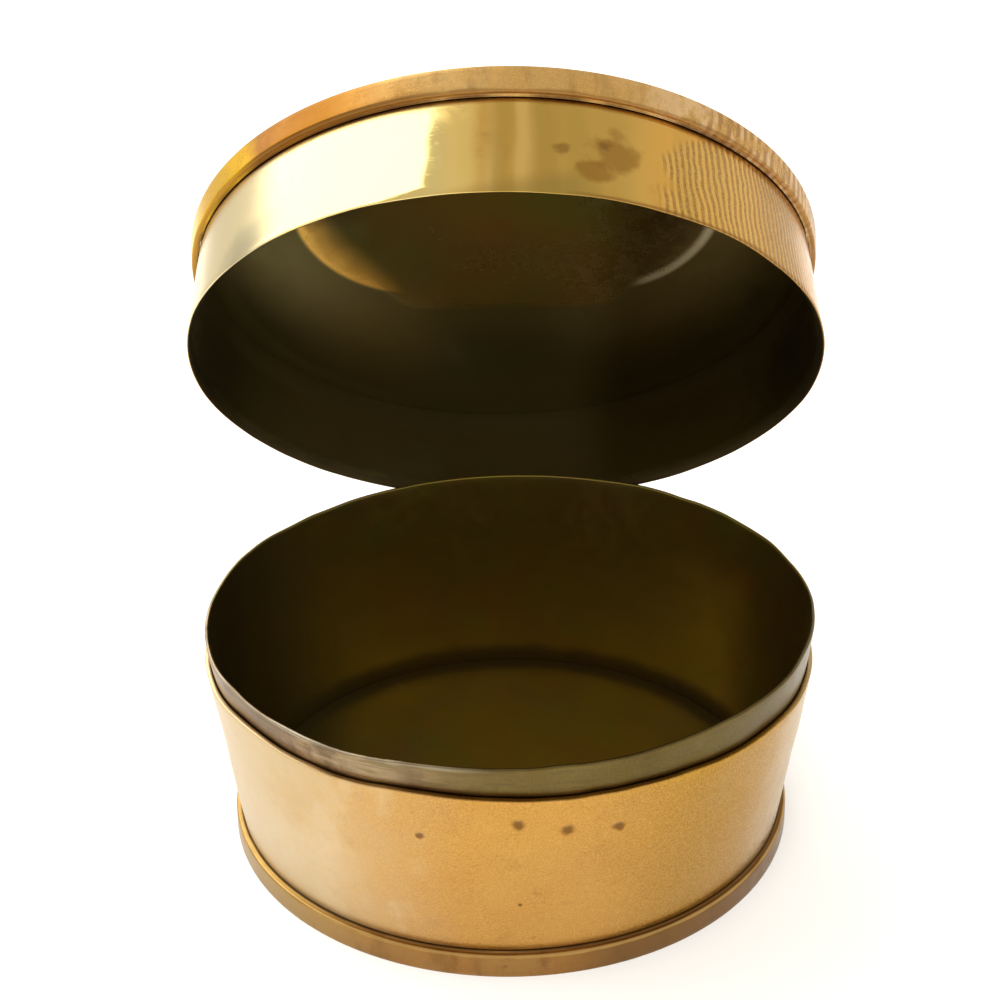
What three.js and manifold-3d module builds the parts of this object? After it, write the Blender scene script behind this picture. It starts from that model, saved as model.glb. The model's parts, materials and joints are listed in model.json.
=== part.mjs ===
// Oval trinket box of polished sheet brass, lid standing open.
// Millimetres, +Z up, +X to the right, -Y towards the viewer.
// The origin is the middle of the underside of the floor plate.
// Every strip is a ring that follows one oval, so the pieces nest inside each other.
import * as THREE from "three";
import { mergeVertices } from "three/addons/utils/BufferGeometryUtils.js";
import Module from "manifold-3d";

const wasm = await Module();
wasm.setup();

// Body
const boxLength = 50; // outside of the body wall, left to right
const boxWidth = 38.3; // outside of the body wall, front to back
const seamHeight = 19.5; // top edge of the body wall above the table, on average
const seamFall = 0.4; // the seam runs down by this much to the right end
const wallSheet = 0.4; // thickness of the body wall
const floorSheet = 0.5; // thickness of the floor plate
const baseRimHeight = 2.25; // strip round the foot of the body
const baseRimProud = 0.85; // how far that strip stands out from the wall, at the foot
const baseRimLean = 0.27; // it leans, so its free edge stands out by this much less

// Bezel, the inner sleeve that the lid slips over
const bezelSheet = 0.3;
const bezelRise = 3.35; // stands this far above the body wall, on average
const bezelRiseRight = 0.4; // its edge runs up by this much to the right end
const bezelRiseBack = 0.9; // and by this much to the back

// Lid
const lidOverhang = 0.3; // the lid wall stands out from the body wall
const lidSheet = 0.45;
const lidHeight = 10.25;
const lidPlateSheet = 0.5;
const lidRimHeight = 1.9;
const lidRimProud = 0.8;
const lidRimLean = 0.26;
const lidOpening = 60; // degrees from closed, as it stands
const lidFullOpening = 100; // degrees from closed, where the two bearers meet

// Hinge
const hingeLength = 15;
const knuckleCount = 5; // the first, third and fifth belong to the body
const knuckleRadius = 0.7;
const pinRadius = 0.33;
const pinEnd = 0.3; // the pin shows this far past the outer knuckles
const bearerDepth = 1.5; // the bearers are the ledges that carry the knuckles
const bearerLip = 0.4; // upright edge before the ledge slopes back to the wall

// Clearances
const seamGap = 0.15; // between body wall and lid wall when closed
const solderGap = 0.05; // between strips that are soldered together
const pinClearance = 0.06;
const knuckleGap = 0.1; // along the axis, between neighbouring knuckles
const hingeStandoff = 0.08; // between the lid wall and the tube of the hinge
const swingClearance = 0.12; // between a bearer and the other leaf's knuckles
const stopGap = 0.05; // between the bearers with the lid fully open

// Finish of the edges and fineness of the curves
const rimChamfer = 0.15;
const ovalSteps = 96;
const knuckleSides = 12;
const grooveSides = 24;
const mergeDistance = 1e-5;
const edgeTolerance = 1e-3;

// What follows from these
const halfLength = boxLength / 2;
const halfWidth = boxWidth / 2;
const bezelInset = wallSheet + solderGap;
const closedLidFoot = seamHeight + seamGap;
const closedLidTop = closedLidFoot + lidHeight;
const axisY = halfWidth + lidOverhang + hingeStandoff + knuckleRadius;
const axisZ = seamHeight + seamGap / 2;
const knucklePitch = hingeLength / knuckleCount;
const halfSide = Math.PI / knuckleSides;
const bearerTop = knuckleRadius * Math.cos(halfSide) + solderGap;
const halfStop = THREE.MathUtils.degToRad(lidFullOpening / 2);
const bearerReach = bearerTop / Math.tan(halfStop) - stopGap;

const brass = {
  wall: { color: 0xdcae62, roughness: 0.3 },
  rim: { color: 0xc08f45, roughness: 0.35 },
  bezel: { color: 0x9a8a62, roughness: 0.35 },
  inside: { color: 0x6b5a28, roughness: 0.2 },
  lid: { color: 0xe0c070, roughness: 0.15 },
  hinge: { color: 0xa87f3c, roughness: 0.4 },
};

function finish(kind) {
  return new THREE.MeshStandardMaterial({ ...brass[kind], metalness: 1 });
}

function piece(name, geometry, kind) {
  const mesh = new THREE.Mesh(geometry, finish(kind));
  mesh.name = name;
  return mesh;
}

// Points of the oval that lies this far outside the outside of the body wall
function ovalPoints(outset) {
  const points = [];
  for (let i = 0; i < ovalSteps; i += 1) {
    const angle = (i / ovalSteps) * 2 * Math.PI;
    const x = (halfLength + outset) * Math.cos(angle);
    const y = (halfWidth + outset) * Math.sin(angle);
    points.push(new THREE.Vector2(x, y));
  }
  return points;
}

// A ring round the oval, from a profile of [outset, z] corners
// that runs anticlockwise with the outside of the box to the right
function ovalRing(profile) {
  const positions = [];
  const faces = [];
  const corners = profile.length;
  for (const [outset, z] of profile) {
    for (const point of ovalPoints(outset)) {
      positions.push(point.x, point.y, z);
    }
  }
  for (let j = 0; j < corners; j += 1) {
    const low = j * ovalSteps;
    const high = ((j + 1) % corners) * ovalSteps;
    for (let i = 0; i < ovalSteps; i += 1) {
      const next = (i + 1) % ovalSteps;
      faces.push(low + i, low + next, high + next);
      faces.push(low + i, high + next, high + i);
    }
  }
  const geometry = new THREE.BufferGeometry();
  geometry.setAttribute("position", new THREE.Float32BufferAttribute(positions, 3));
  geometry.setIndex(faces);
  geometry.computeVertexNormals();
  return geometry;
}

// A strip of sheet stood on edge round the oval
function ovalStrip(outerOutset, sheet, bottom, top) {
  const inner = outerOutset - sheet;
  return ovalRing([[outerOutset, bottom], [outerOutset, top], [inner, top], [inner, bottom]]);
}

// A flat oval plate
function ovalPlate(outset, bottom, sheet) {
  const shape = new THREE.Shape(ovalPoints(outset));
  const geometry = new THREE.ExtrudeGeometry(shape, { depth: sheet, bevelEnabled: false });
  return geometry.translate(0, 0, bottom);
}

// A rim strip soldered round a wall. It leans in towards its free edge, which is chamfered;
// edgeZ is the height of that edge and backZ the height of the square one
function rimStrip(wallOutset, proud, lean, backZ, edgeZ) {
  const inner = wallOutset + solderGap;
  const outer = wallOutset + proud;
  const edge = outer - lean;
  const inward = Math.sign(backZ - edgeZ) * rimChamfer;
  const corners = [
    [outer, backZ],
    [edge, edgeZ + inward],
    [edge - rimChamfer, edgeZ],
    [inner, edgeZ],
    [inner, backZ],
  ];
  return ovalRing(edgeZ > backZ ? corners : corners.reverse());
}

// Tilts the edge of a strip that lies at one height: up by riseRight
// at the right end of the oval and by riseBack at its back
function tiltEdge(strip, edgeZ, riseRight, riseBack) {
  const position = strip.getAttribute("position");
  for (let i = 0; i < position.count; i += 1) {
    if (Math.abs(position.getZ(i) - edgeZ) < edgeTolerance) {
      const right = (riseRight * position.getX(i)) / halfLength;
      const back = (riseBack * position.getY(i)) / halfWidth;
      position.setZ(i, edgeZ + right + back);
    }
  }
  strip.computeVertexNormals();
  return strip;
}

function toSolid(geometry) {
  const bare = geometry.clone();
  bare.deleteAttribute("normal");
  bare.deleteAttribute("uv");
  const merged = mergeVertices(bare, mergeDistance);
  const mesh = new wasm.Mesh({
    numProp: 3,
    vertProperties: new Float32Array(merged.getAttribute("position").array),
    triVerts: new Uint32Array(merged.getIndex().array),
  });
  return new wasm.Manifold(mesh);
}

function toGeometry(solid) {
  const mesh = solid.getMesh();
  const geometry = new THREE.BufferGeometry();
  geometry.setAttribute("position", new THREE.BufferAttribute(mesh.vertProperties, 3));
  geometry.setIndex(new THREE.BufferAttribute(mesh.triVerts, 1));
  geometry.computeVertexNormals();
  return geometry;
}

// A prism along X from a closed outline of [y, z] corners
function prismAlongX(outline, length) {
  const shape = new THREE.Shape(outline.map(([y, z]) => new THREE.Vector2(y, z)));
  const geometry = new THREE.ExtrudeGeometry(shape, { depth: length, bevelEnabled: false });
  const turn = new THREE.Matrix4().makeBasis(
    new THREE.Vector3(0, 1, 0),
    new THREE.Vector3(0, 0, 1),
    new THREE.Vector3(1, 0, 0),
  );
  return geometry.applyMatrix4(turn).translate(-length / 2, 0, 0);
}

function knuckleMiddle(index) {
  return (index - (knuckleCount - 1) / 2) * knucklePitch;
}

// Knuckles with an even index stand on the body, the others hang from the lid
function belongsToBody(index) {
  return index % 2 === 0;
}

// The ledge that carries one leaf's knuckles, cut to the wall behind it
// and hollowed where the other leaf's knuckles turn; side is -1 below the axis, 1 above
function bearer(side, wallOutset, carriesBody) {
  const wallY = halfWidth + wallOutset - axisY;
  const root = -axisY;
  const outline = [
    [root, bearerTop],
    [bearerReach, bearerTop],
    [bearerReach, bearerTop + bearerLip],
    [wallY + solderGap, bearerTop + bearerDepth],
    [root, bearerTop + bearerDepth],
  ].map(([y, z]) => [axisY + y, axisZ + side * z]);
  const ledge = toSolid(prismAlongX(side > 0 ? outline : outline.reverse(), hingeLength));
  const wallCut = ovalPlate(wallOutset + solderGap, 0, closedLidTop);
  let solid = ledge.subtract(toSolid(wallCut));
  for (let i = 0; i < knuckleCount; i += 1) {
    if (belongsToBody(i) !== carriesBody) {
      const radius = knuckleRadius + swingClearance;
      const length = knucklePitch + knuckleGap;
      const groove = new THREE.CylinderGeometry(radius, radius, length, grooveSides);
      groove.rotateZ(Math.PI / 2).translate(knuckleMiddle(i), axisY, axisZ);
      solid = solid.subtract(toSolid(groove));
    }
  }
  return toGeometry(solid);
}

// A short tube round the hinge axis, with flats towards both bearers
function knuckle() {
  const bore = (pinRadius + pinClearance) / Math.cos(halfSide);
  const half = (knucklePitch - knuckleGap) / 2;
  const profile = [
    [bore, -half],
    [knuckleRadius, -half],
    [knuckleRadius, half],
    [bore, half],
    [bore, -half],
  ].map(([radius, along]) => new THREE.Vector2(radius, along));
  const tube = new THREE.LatheGeometry(profile, knuckleSides, halfSide);
  return tube.rotateZ(-Math.PI / 2);
}

function hingePin() {
  const half = hingeLength / 2 + pinEnd;
  const dome = pinRadius / 2;
  const profile = [
    [0, -half],
    [dome, -half],
    [pinRadius, dome - half],
    [pinRadius, half - dome],
    [dome, half],
    [0, half],
  ].map(([radius, along]) => new THREE.Vector2(radius, along));
  return new THREE.LatheGeometry(profile, knuckleSides).rotateZ(-Math.PI / 2);
}

const box = new THREE.Group();

// The body
const wallStrip = ovalStrip(0, wallSheet, 0, seamHeight);
box.add(piece("body_wall", tiltEdge(wallStrip, seamHeight, -seamFall, 0), "wall"));
box.add(piece("floor_plate", ovalPlate(-bezelInset, 0, floorSheet), "inside"));
const footStrip = rimStrip(0, baseRimProud, baseRimLean, 0, baseRimHeight);
box.add(piece("base_rim", footStrip, "rim"));
const bezelTop = seamHeight + bezelRise;
const sleeve = ovalStrip(-bezelInset, bezelSheet, floorSheet + solderGap, bezelTop);
tiltEdge(sleeve, bezelTop, bezelRiseRight, bezelRiseBack);
box.add(piece("bezel", sleeve, "bezel"));
box.add(piece("body_hinge_bearer", bearer(-1, 0, true), "hinge"));

// The lid is built closed, then turned open about the hinge axis
const openLid = new THREE.Group();
openLid.position.set(0, axisY, axisZ);
openLid.rotation.x = -THREE.MathUtils.degToRad(lidOpening);
const closedLid = new THREE.Group();
closedLid.position.set(0, -axisY, -axisZ);
openLid.add(closedLid);
box.add(openLid);

const lidWallStrip = ovalStrip(lidOverhang, lidSheet, closedLidFoot, closedLidTop);
tiltEdge(lidWallStrip, closedLidFoot, -seamFall, 0);
closedLid.add(piece("lid_wall", lidWallStrip, "lid"));
const plateOutset = lidOverhang - lidSheet - solderGap;
const plateBottom = closedLidTop - lidPlateSheet;
closedLid.add(piece("lid_plate", ovalPlate(plateOutset, plateBottom, lidPlateSheet), "inside"));
const lidRimEdge = closedLidTop - lidRimHeight;
const topStrip = rimStrip(lidOverhang, lidRimProud, lidRimLean, closedLidTop, lidRimEdge);
closedLid.add(piece("lid_rim", topStrip, "rim"));
closedLid.add(piece("lid_hinge_bearer", bearer(1, lidOverhang, false), "hinge"));

// The hinge tube is sawn into knuckles, shared out between body and lid
const knuckleNames = [
  "body_knuckle_left",
  "lid_knuckle_left",
  "body_knuckle_centre",
  "lid_knuckle_right",
  "body_knuckle_right",
];
knuckleNames.forEach((name, index) => {
  const tube = piece(name, knuckle(), "hinge");
  tube.position.set(knuckleMiddle(index), axisY, axisZ);
  const leaf = belongsToBody(index) ? box : closedLid;
  leaf.add(tube);
});
const pin = piece("hinge_pin", hingePin(), "hinge");
pin.position.set(0, axisY, axisZ);
box.add(pin);

export default box;
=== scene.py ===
# %% [markdown]
# # An oval trinket box of polished brass, with its lid open
#
# The box is built from sheet brass. A body wall and a lid wall are bent to one oval, each with a
# rim strip soldered round its closed end and an oval plate let into it. Inside the body stands a
# thin sleeve, the bezel, and the lid slips over the part of it that rises above the seam. A small
# hinge of five knuckles joins the two at the back.
#
# The frame is loaded first. It holds the solids of the part and its joint, and everything that
# follows is built to those solids, in metres.

# %% Load the frame
import json
import math

import bmesh
import bpy
from mathutils import Matrix, Vector


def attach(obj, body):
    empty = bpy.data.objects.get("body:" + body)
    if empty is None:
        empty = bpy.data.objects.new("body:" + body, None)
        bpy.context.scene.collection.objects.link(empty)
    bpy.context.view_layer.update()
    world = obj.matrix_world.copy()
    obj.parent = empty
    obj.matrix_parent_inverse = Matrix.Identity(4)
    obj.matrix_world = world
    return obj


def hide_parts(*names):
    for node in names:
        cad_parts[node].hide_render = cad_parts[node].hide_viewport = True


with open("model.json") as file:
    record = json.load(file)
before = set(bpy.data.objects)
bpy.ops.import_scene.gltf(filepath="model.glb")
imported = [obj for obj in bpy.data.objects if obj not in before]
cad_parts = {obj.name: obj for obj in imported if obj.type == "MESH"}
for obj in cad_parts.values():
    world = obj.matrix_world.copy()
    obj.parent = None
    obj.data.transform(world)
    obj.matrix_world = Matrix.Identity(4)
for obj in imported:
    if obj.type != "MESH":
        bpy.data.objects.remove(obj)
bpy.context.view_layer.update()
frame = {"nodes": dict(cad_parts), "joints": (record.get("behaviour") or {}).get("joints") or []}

# %% [markdown]
# ## The hinge, and the lid as it lies when shut
#
# The lid is easier to make shut, straight above the body, and to turn open once it is finished.
# The joint says where its axis is, and its range says how far the lid stands open: at the low end
# of the range the lid is shut. The same turn, run backwards, brings the corners of the lid's
# solids down onto the body, where their sizes can be read. Two places less than a hair apart
# count as one. MM turns metres into millimetres, for what is printed and for the materials.

# %% Read the hinge
hinge = next(j for j in frame["joints"] if j["name"] == "lid_hinge")
hinge_point = Vector(hinge["pos_m"])
opening = -math.radians(hinge["range_deg"][0])
to_hinge = Matrix.Translation(hinge_point)
lid_open = to_hinge @ Matrix.Rotation(-opening, 4, "X") @ to_hinge.inverted()
HAIR = 1e-5
MM = 1000


def shut_points(node):
    """The corners of a solid, with the lid's own brought back to where they are when it is shut."""
    turn = lid_open.inverted() if node.startswith("lid_") else Matrix.Identity(4)
    return [turn @ v.co for v in frame["nodes"][node].data.vertices]


print(f"the lid stands open by {math.degrees(opening):.0f} degrees")

# %% [markdown]
# ## Sizes of the strips
#
# Every strip follows the same oval, some way inside or outside of the body wall's outer face.
# That distance is called its outset here. A strip's edge may also run a little uphill, to the
# right or to the back, as the seam and the bezel do on the real box, so an edge has a height and
# two rises.


# %% Read the sizes
def outsets(node):
    """How far the outer and the inner face of a strip lie outside the body wall."""
    right = [p.x for p in shut_points(node) if abs(p.y) < HAIR and p.x > 0]
    return max(right) - half_length, min(right) - half_length


def edge(node, pick):
    """Height of a strip's lowest (min) or highest (max) edge, and its rise to the right and back."""
    points = shut_points(node)
    right, left = (pick(p.z for p in points if abs(p.y) < HAIR and p.x * s > 0) for s in (1, -1))
    back, front = (pick(p.z for p in points if abs(p.x) < HAIR and p.y * s > 0) for s in (1, -1))
    return (right + left) / 2, (right - left) / 2, (back - front) / 2


def in_order(corners):
    """The corners of a section in order round their middle."""
    middle = [sum(c[i] for c in corners) / len(corners) for i in (0, 1)]
    return sorted(corners, key=lambda c: math.atan2(c[1] - middle[1], c[0] - middle[0]))


def section_of(node):
    """The corners of a strip's section as outsets and heights, in order round their middle."""
    corners = []
    for p in shut_points(node):
        corner = (p.x - half_length, p.z)
        if p.x > 0 and abs(p.y) < HAIR and all(math.dist(corner, c) > HAIR for c in corners):
            corners.append(corner)
    return in_order(corners)


wall_points = shut_points("body_wall")
half_length = max(p.x for p in wall_points)
half_width = max(p.y for p in wall_points)
seam = edge("body_wall", max)
print(f"oval {2 * MM * half_length:.1f} by {2 * MM * half_width:.1f} mm",
      f"with the seam at {MM * seam[0]:.1f} mm")

# %% [markdown]
# ## The camera
#
# The camera stands close in front of the box and looks down at it, a little off straight and a
# little tilted. Its place, turn and lens were found by matching the ovals of the solids to the
# photograph.

# %% Camera
SCENE = bpy.context.scene
CAMERA_PLACE = Vector((0.000337, -0.062739, 0.068862))
CAMERA_ANGLES = (36.55, -0.457, -0.999)
LENS, SENSOR_WIDTH, LENS_SHIFT = 34.25, 36, (-0.0055, 0.1)
NEAREST, FARTHEST = 0.002, 20
camera = bpy.data.objects.new("camera", bpy.data.cameras.new("camera"))
SCENE.collection.objects.link(camera)
SCENE.camera = camera
camera.data.sensor_width = SENSOR_WIDTH
camera.data.lens = LENS
camera.data.shift_x, camera.data.shift_y = LENS_SHIFT
camera.data.clip_start, camera.data.clip_end = NEAREST, FARTHEST
pitch, yaw, roll = (math.radians(a) for a in CAMERA_ANGLES)
forward = Vector((
    math.sin(yaw) * math.cos(pitch),
    math.cos(yaw) * math.cos(pitch),
    -math.sin(pitch),
))
level = Vector((math.cos(yaw), -math.sin(yaw), 0))
upright = level.cross(forward)
right = math.cos(roll) * level + math.sin(roll) * upright
up = -math.sin(roll) * level + math.cos(roll) * upright
turn = Matrix((right, up, -forward)).transposed().to_4x4()
camera.matrix_world = Matrix.Translation(CAMERA_PLACE) @ turn
print("camera", round((CAMERA_PLACE - hinge_point).length * MM), "mm from the hinge")

# %% [markdown]
# ## Floor and light
#
# Polished metal shows its surroundings more than itself, so the light matters as much as the
# brass. The front of the body mirrors the floor just before it, and the lid, leaning back,
# mirrors what stands high behind it. So a broad soft window stands behind on the left, and its
# straight edge ends part of the way across the lid. A sky lamp keeps the pale floor bright. It
# isn't mirrored in the metal, because it stands for light from everywhere. The room round the box
# is a warm white that grows dimmer towards the ceiling.

# %% Stage
FLOOR_SIZE = 8
WINDOW_PLACE, WINDOW_AIM = (-0.325, 0.28, 0.466), (0, 0.01, 0.04)
WINDOW_WATTS, WINDOW_SIZE = 2.9, (0.8, 0.44)
SKY_PLACE, SKY_STRENGTH, SKY_ANGLE = (0.1, -0.3, 1), 1.75, 50
ROOM_TONE = (1.0, 0.95, 0.87, 1)
ROOM_GLOW = {"From Min": 0.1, "From Max": 0.9, "To Min": 0.88, "To Max": 0.70}
SCENE.view_settings.view_transform = "Standard"


def lamp(name, kind, place, aim, power, size=None):
    """A soft light at a place, facing another."""
    data = bpy.data.lights.new(name, kind)
    data.energy = power
    if size:
        data.shape = "RECTANGLE"
        data.size, data.size_y = size
    light = bpy.data.objects.new(name, data)
    SCENE.collection.objects.link(light)
    light.location = place
    light.rotation_euler = (Vector(aim) - Vector(place)).to_track_quat("-Z", "Y").to_euler()
    light.visible_camera = False
    return light


world = bpy.data.worlds.new("room")
SCENE.world = world
world.use_nodes = True
room = world.node_tree
height = room.nodes.new("ShaderNodeSeparateXYZ")
room.links.new(room.nodes.new("ShaderNodeTexCoord").outputs["Generated"], height.inputs["Vector"])
dimmer = room.nodes.new("ShaderNodeMapRange")
room.links.new(height.outputs["Z"], dimmer.inputs["Value"])
for socket, value in ROOM_GLOW.items():
    dimmer.inputs[socket].default_value = value
room.links.new(dimmer.outputs["Result"], room.nodes["Background"].inputs["Strength"])
room.nodes["Background"].inputs["Color"].default_value = ROOM_TONE

bpy.ops.object.select_all(action="DESELECT")
bpy.ops.mesh.primitive_plane_add(size=FLOOR_SIZE, location=(0, 0, 0))
floor = bpy.context.object
floor.name = "floor"
lamp("window", "AREA", WINDOW_PLACE, WINDOW_AIM, WINDOW_WATTS, WINDOW_SIZE)
sky = lamp("sky", "SUN", SKY_PLACE, (0, 0, 0), SKY_STRENGTH)
sky.data.angle = math.radians(SKY_ANGLE)
sky.visible_glossy = False

# %% [markdown]
# ## Building materials from nodes
#
# A material is a small network of nodes. A few helpers keep the cells short: one adds a node with
# its settings and its input values, another starts a shader node group, which is a network with
# named inputs and outputs that several materials can use, and the rest do a step of arithmetic,
# blend two colours, or draw a soft step or cloudy noise.


# %% Helpers for nodes
def feed(tree, node, values):
    """Gives sockets their values, and links them where a value is another node's socket."""
    for socket, value in values.items():
        if isinstance(value, bpy.types.NodeSocket):
            tree.links.new(value, node.inputs[socket])
        else:
            node.inputs[socket].default_value = value


def add(tree, kind, values=None, **settings):
    """A new node, with settings such as operation and values for its sockets."""
    node = tree.nodes.new("ShaderNode" + kind)
    for name, value in settings.items():
        setattr(node, name, value)
    feed(tree, node, values or {})
    return node


def group(name, inputs, outputs):
    """An empty shader node group, its start and its end."""
    tree = bpy.data.node_groups.new(name, "ShaderNodeTree")
    for label, kind, value in inputs:
        socket = tree.interface.new_socket(label, in_out="INPUT", socket_type="NodeSocket" + kind)
        if value is not None:
            socket.default_value = value
    for label, kind in outputs:
        tree.interface.new_socket(label, in_out="OUTPUT", socket_type="NodeSocket" + kind)
    return tree, tree.nodes.new("NodeGroupInput").outputs, tree.nodes.new("NodeGroupOutput").inputs


def use(tree, made, values):
    """A node that holds one of the groups."""
    return add(tree, "Group", values, node_tree=made).outputs


def ramp(tree, value, low, high):
    """A soft step from 0 at low to 1 at high, which falls where low is the greater."""
    return add(tree, "MapRange", {"Value": value, "From Min": low, "From Max": high},
               interpolation_type="SMOOTHSTEP").outputs["Result"]


def maths(tree, operation, a, b):
    """One step of arithmetic on two values or sockets."""
    return add(tree, "Math", {0: a, 1: b}, operation=operation).outputs["Value"]


def apart(tree, a, b):
    """The length of the long side of a right angle with sides a and b."""
    return maths(tree, "SQRT", maths(tree, "ADD", maths(tree, "MULTIPLY", a, a),
                                     maths(tree, "MULTIPLY", b, b)), 0)


def blend(tree, share, a, b):
    """Colour a where share is 0 and colour b where it is 1."""
    factor, colour_a, colour_b, mixed = 0, 6, 7, 2
    mix = add(tree, "Mix", data_type="RGBA")
    feed(tree, mix, {factor: share, colour_a: a, colour_b: b})
    return mix.outputs[mixed]


def noise(tree, place, scale, stretch=(1, 1, 1), detail=3.0, turn=(0, 0, 0), rough=0.5):
    """Cloudy noise, with so many features to a millimetre, stretched where stretch is small."""
    mapping = add(tree, "Mapping", {"Vector": place, "Rotation": turn, "Scale": stretch})
    texture = add(tree, "TexNoise", {"Vector": mapping.outputs["Vector"], "Scale": scale,
                                     "Detail": detail, "Roughness": rough})
    return texture.outputs["Fac"]


print("node helpers ready")

# %% [markdown]
# ## Finish: fine scratches
#
# A box that is handled and wiped for years is covered in fine hairlines. Each layer here is noise
# drawn out long and thin in one direction and cut off so that only its crests are left. Three
# layers cross each other at different angles.

# %% Scratches
LAYERS = (((0.2, 0.1, 0.3), 1.6), ((0.9, 0.4, 0.2), 1.3), ((-0.5, 0.8, 1.2), 1.8))
scratches, given, result = group(
    "fine scratches", [("Place", "Vector", None), ("Cut", "Float", 0.62)], [("Scratches", "Float")])
layers = []
for angles, scale in LAYERS:
    field = noise(scratches, given["Place"], scale, (0.2, 4, 4), 2.0, angles)
    cut = maths(scratches, "SUBTRACT", field, given["Cut"])
    layers.append(ramp(scratches, cut, 0.0, 0.05))
both = maths(scratches, "MAXIMUM", layers[0], layers[1])
every = maths(scratches, "MAXIMUM", both, layers[2])
scratches.links.new(every, result["Scratches"])
print("group:", scratches.name)

# %% [markdown]
# ## Finish: smudges
#
# Handling leaves a thin film that dulls the polish in soft patches. The patches are large clouds,
# broken up by finer ones. The same large clouds let the colour drift between two tones.

# %% Smudges
smudges, given, result = group(
    "smudges", [("Place", "Vector", None), ("Size", "Float", 6.0)],
    [("Smudge", "Float"), ("Drift", "Float")])
pace = maths(smudges, "DIVIDE", 1.0, given["Size"])
broad = add(smudges, "TexNoise", {"Vector": given["Place"], "Scale": pace, "Detail": 2.0})
fine = noise(smudges, given["Place"], 0.9, detail=5.0, rough=0.65)
patches = ramp(smudges, broad.outputs["Fac"], 0.42, 0.66)
broken = ramp(smudges, fine, 0.35, 0.65)
film = maths(smudges, "MULTIPLY", patches, broken)
smudges.links.new(film, result["Smudge"])
smudges.links.new(ramp(smudges, broad.outputs["Fac"], 0.3, 0.7), result["Drift"])
print("group:", smudges.name)

# %% [markdown]
# ## Finish: tarnish
#
# Where a cloth doesn't reach, brass goes brown. The mask has larger stains and a few small
# specks, and a value in between lets a material ask for more of it.

# %% Tarnish
tarnish, given, result = group(
    "tarnish", [("Place", "Vector", None), ("More", "Float", 0.0)],
    [("Stain", "Float"), ("Specks", "Float")])
cloud = noise(tarnish, given["Place"], 0.35, detail=6.0, rough=0.62)
raised = maths(tarnish, "ADD", cloud, given["More"])
tarnish.links.new(ramp(tarnish, raised, 0.56, 0.78), result["Stain"])
dots = add(tarnish, "TexVoronoi", {"Vector": given["Place"], "Scale": 0.42}, feature="F1")
small = ramp(tarnish, dots.outputs["Distance"], 0.12, 0.06)
chosen = maths(tarnish, "GREATER_THAN", noise(tarnish, given["Place"], 0.16, detail=1.0), 0.6)
tarnish.links.new(maths(tarnish, "MULTIPLY", small, chosen), result["Specks"])
print("group:", tarnish.name)

# %% [markdown]
# ## Finish: coloured film
#
# Inside, where nobody polishes, the film on brass grows thick enough to show faint colours, green
# here and red or grey there. The three channels of one soft cloud give a mask for each.

# %% Coloured film
film_tints, given, result = group(
    "coloured film", [("Place", "Vector", None), ("Size", "Float", 9.0)],
    [("Green", "Float"), ("Red", "Float"), ("Grey", "Float")])
pace = maths(film_tints, "DIVIDE", 1.0, given["Size"])
soft = add(film_tints, "TexNoise", {"Vector": given["Place"], "Scale": pace, "Detail": 3.0})
channels = add(film_tints, "SeparateColor", {"Color": soft.outputs["Color"]}).outputs
for channel, label in (("Red", "Green"), ("Green", "Red"), ("Blue", "Grey")):
    film_tints.links.new(ramp(film_tints, channels[channel], 0.48, 0.72), result[label])
print("group:", film_tints.name)

# %% [markdown]
# ## Finish: bright edges
#
# Wiping takes the film off the edges first, so they stay bright. Pointiness tells how sharply a
# surface bends outwards, and the edges of these sheets are rounded finely enough for it to work.

# %% Edges
edges, given, result = group("bright edges", [("Place", "Vector", None)], [("Edge", "Float")])
bend = add(edges, "NewGeometry").outputs["Pointiness"]
wander = maths(edges, "MULTIPLY", noise(edges, given["Place"], 0.8, detail=2.0), 0.03)
edges.links.new(ramp(edges, maths(edges, "SUBTRACT", bend, wander), 0.505, 0.56), result["Edge"])
print("group:", edges.name)

# %% [markdown]
# ## Finish: painted shade in corners, and lines round the oval
#
# Where one strip is soldered to another, the corner is painted dark. That is painted shade, with
# some old polish in it. Such a corner is a line round the oval, at one height and one outset, and
# the group measures how far a point is from it. The dark band is wide in one place and narrow in
# another, as on the real box. The same band, painted pale, draws painted highlight lines.

# %% Shade lines round the oval
line_band, given, result = group(
    "corner grime",
    [("Place", "Vector", None), ("Height", "Float", 0.0), ("Rise right", "Float", 0.0),
     ("Rise back", "Float", 0.0), ("Outset", "Float", 0.0), ("Reach", "Float", 0.5),
     ("Uneven", "Float", 1.6)],
    [("Near_line", "Float")])
axes = add(line_band, "SeparateXYZ", {"Vector": given["Place"]}).outputs
across = maths(line_band, "DIVIDE", axes["X"], MM * half_length)
along = maths(line_band, "DIVIDE", axes["Y"], MM * half_width)
across2 = maths(line_band, "MULTIPLY", across, across)
along2 = maths(line_band, "MULTIPLY", along, along)
beyond = maths(line_band, "SUBTRACT", apart(line_band, across, along), 1.0)
spread = maths(line_band, "ADD", maths(line_band, "DIVIDE", across2, MM * half_length),
               maths(line_band, "DIVIDE", along2, MM * half_width))
outset = maths(line_band, "SUBTRACT", maths(line_band, "DIVIDE", beyond, spread), given["Outset"])
line = maths(line_band, "ADD", given["Height"], maths(line_band, "MULTIPLY", given["Rise right"], across))
line = maths(line_band, "ADD", line, maths(line_band, "MULTIPLY", given["Rise back"], along))
above = maths(line_band, "SUBTRACT", axes["Z"], line)
gap = apart(line_band, outset, above)
wander = maths(line_band, "SUBTRACT", noise(line_band, given["Place"], 0.3, detail=3.0), 0.5)
wider = maths(line_band, "ADD", maths(line_band, "MULTIPLY", wander, given["Uneven"]), 1.0)
share = maths(line_band, "DIVIDE", gap, maths(line_band, "MULTIPLY", given["Reach"], wider))
line_band.links.new(ramp(line_band, share, 1.0, 0.35), result["Near_line"])
print("group:", line_band.name)
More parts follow.
